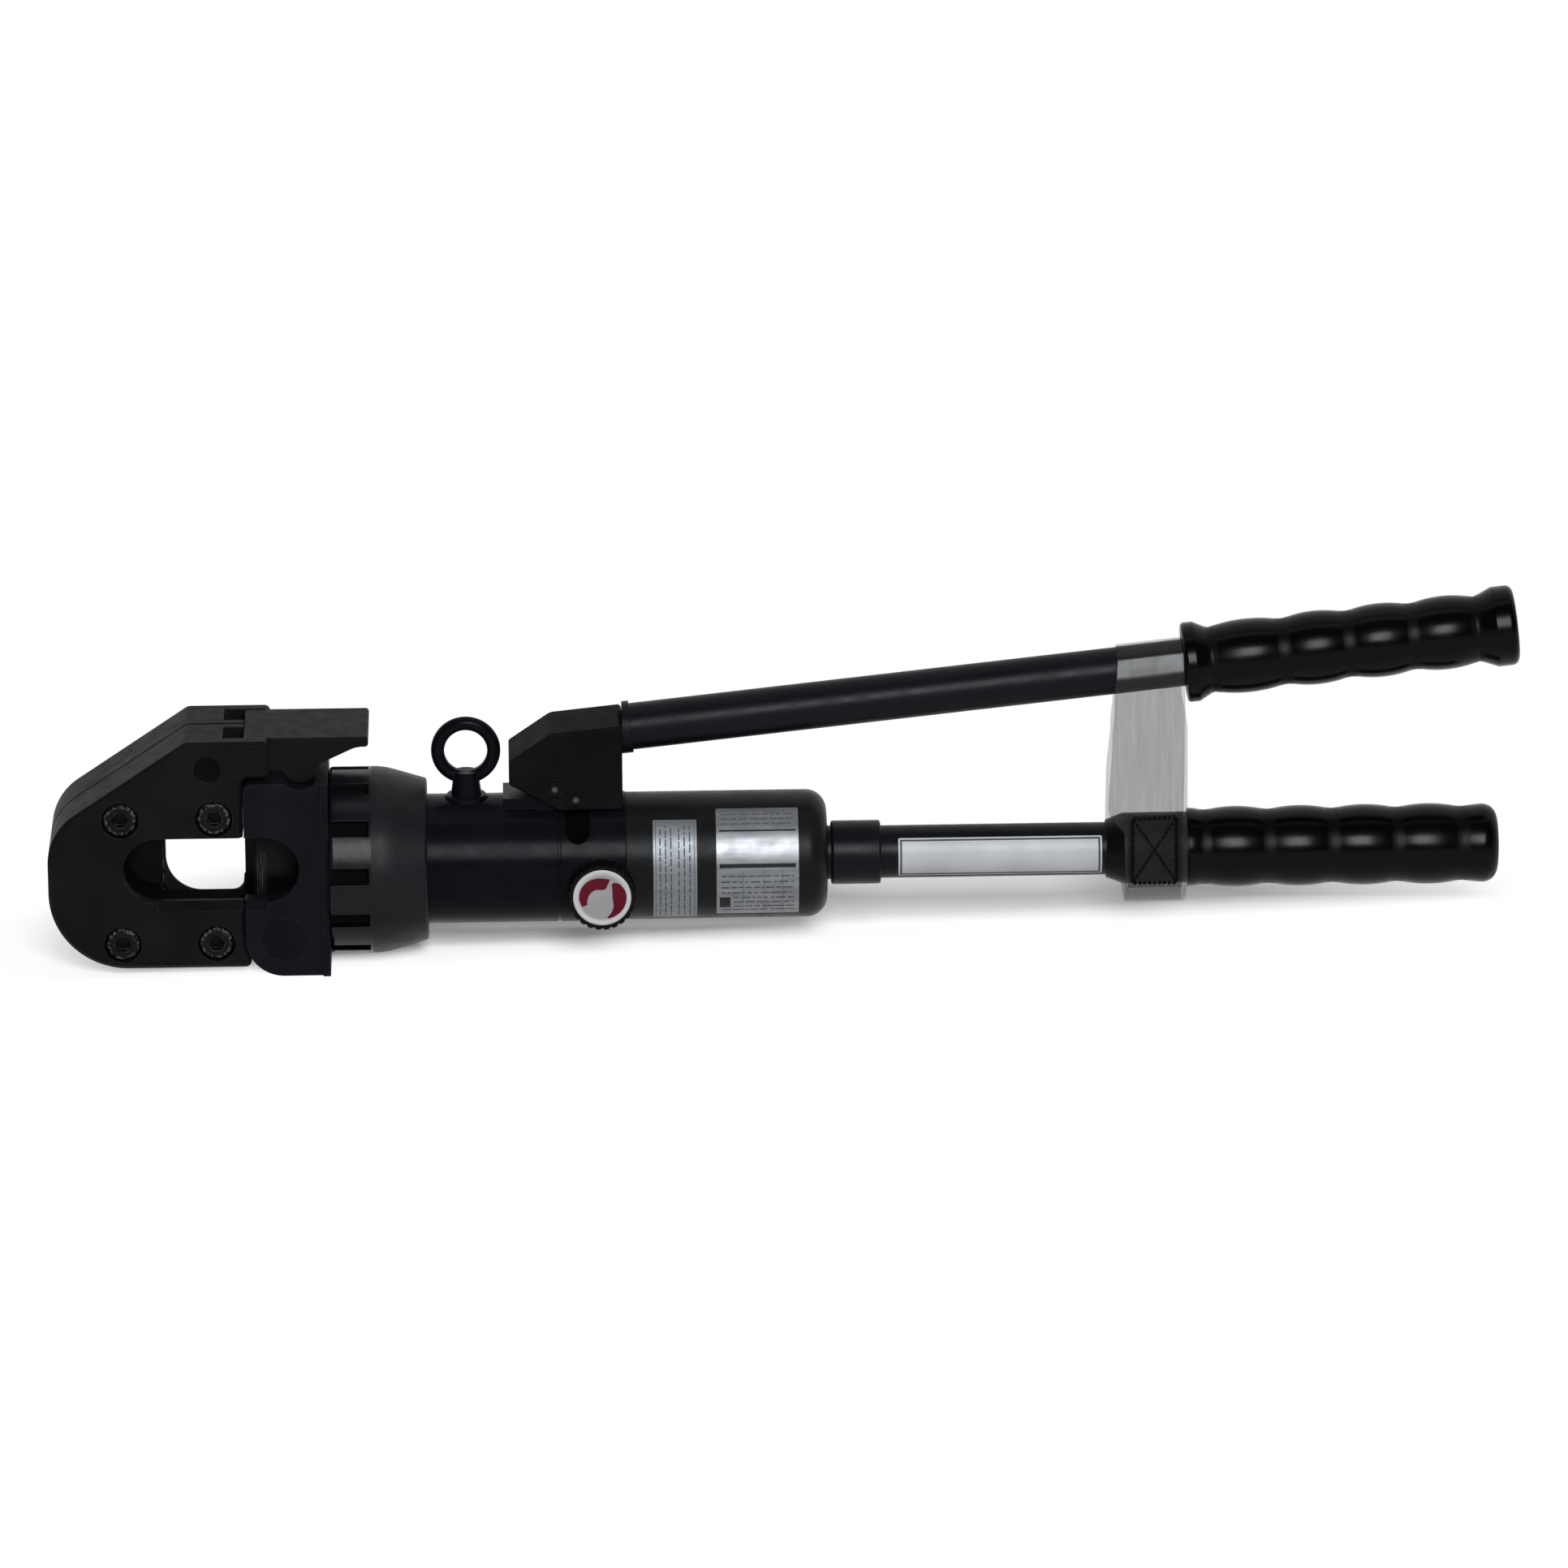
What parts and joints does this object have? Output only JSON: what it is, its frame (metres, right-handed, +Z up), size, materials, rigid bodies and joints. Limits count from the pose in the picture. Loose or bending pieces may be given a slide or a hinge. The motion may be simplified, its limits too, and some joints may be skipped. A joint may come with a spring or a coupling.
{
  "type": "hand hydraulic cutter",
  "caption": "Hand hydraulic cutter for wire rope and bar, with a hinged guillotine head, pump handle, fixed grip handle, oil reservoir and lifting eye.",
  "frame": {"origin": "on the floor plane under the middle of the tool's length, on the mid-plane between the jaw plates", "axes": "+X along the ram from the head to the grips, +Y towards the rear, +Z up"},
  "size_m": [0.5978, 0.076, 0.1492],
  "materials": {
    "head_black": "black oxide, matte",
    "screw_black": "black oxide, satin",
    "tool_steel": "hardened tool steel, black oxide",
    "pin_steel": "black oxide pin",
    "spring_steel": "drawn spring wire",
    "yoke_black": "black paint, satin",
    "body_black": "black paint, semi-gloss",
    "ground_chrome": "ground and plated",
    "bush_bronze": "bronze, plain",
    "seal_rubber": "nitrile rubber",
    "tank_black": "black paint, satin",
    "tube_black": "black paint, semi-gloss",
    "grip_black": "moulded grip, glossy",
    "knob_black": "moulded knob",
    "knob_white": "printed disc with a red turning arrow",
    "plate_silver": "foil label, bare",
    "strap_grey": "grey band"
  },
  "bodies": {
    "frame": {"yoke": "yoke_black", "hinge_pin": "pin_steel", "hinge_circlip": "pin_steel", "rod_bush": "bush_bronze", "collar_nut": "body_black", "pump_body": "body_black", "eye_bolt": "body_black", "return_spring": "spring_steel", "plunger_gland": "body_black", "plunger_seal": "seal_rubber", "check_balls": "tool_steel", "check_plugs": "bush_bronze", "check_springs": "spring_steel", "relief_poppet": "tool_steel", "relief_spring": "spring_steel", "relief_screw": "body_black", "reservoir_seal": "seal_rubber", "reservoir_shell": "tank_black", "oil_bladder": "seal_rubber", "suction_strainer": "bush_bronze", "handle_adapter": "tube_black", "lower_handle_tube": "tube_black", "lower_grip": "grip_black", "nameplate": "plate_silver", "spec_label": "plate_silver", "side_label": "plate_silver", "strap": "strap_grey"},
    "head": {"front_jaw_plate": "head_black", "rear_jaw_plate": "head_black", "fixed_blade": "tool_steel", "jaw_screws": "screw_black", "latch_pin": "pin_steel", "latch_spring": "spring_steel"},
    "latch": {"latch": "head_black"},
    "ram": {"ram": "ground_chrome", "piston_seal": "seal_rubber", "moving_blade": "tool_steel", "blade_pin": "pin_steel"},
    "lever": {"lever_bracket": "tube_black", "fulcrum_pin": "pin_steel", "drive_pin": "pin_steel", "pin_clips": "screw_black", "upper_handle_tube": "tube_black", "upper_grip": "grip_black"},
    "plunger": {"pump_plunger": "ground_chrome"},
    "release": {"release_stem": "pin_steel", "release_knob": "knob_black", "knob_label": "knob_white"}
  },
  "joints": [
    {"name": "head_swing", "type": "hinge", "parent": "frame", "child": "head", "pos_m": [-0.20388, 0, 0.0155], "axis": [0, -1, 0], "range_deg": [0, 65]},
    {"name": "latch_lift", "type": "hinge", "parent": "head", "child": "latch", "pos_m": [-0.23348, 0, 0.0881], "axis": [0, -1, 0], "range_deg": [0, 40], "deforming": ["latch_spring"]},
    {"name": "ram_slide", "type": "slide", "parent": "frame", "child": "ram", "axis": [-1, 0, 0], "range_m": [0, 0.034], "stiffness_N_per_m": 1500, "springref_m": -0.01, "deforming": ["return_spring"]},
    {"name": "lever_pump", "type": "hinge", "parent": "frame", "child": "lever", "pos_m": [-0.09338, 0, 0.0745], "axis": [0, -1, 0], "range_deg": [0, 35], "deforming": ["strap"]},
    {"name": "plunger_slide", "type": "slide", "parent": "frame", "child": "plunger", "axis": [0, 0, 1], "range_m": [0, 0.0058]},
    {"name": "release_turn", "type": "hinge", "parent": "frame", "child": "release", "pos_m": [-0.07488, 0, 0.0345], "axis": [0, -1, 0], "range_deg": [0, 180]}
  ],
  "couplings": [
    {"joint": "latch_lift", "follows": "head_swing", "ratio": 0.6},
    {"joint": "plunger_slide", "follows": "lever_pump", "m_per_rad": 0.009314}
  ]
}
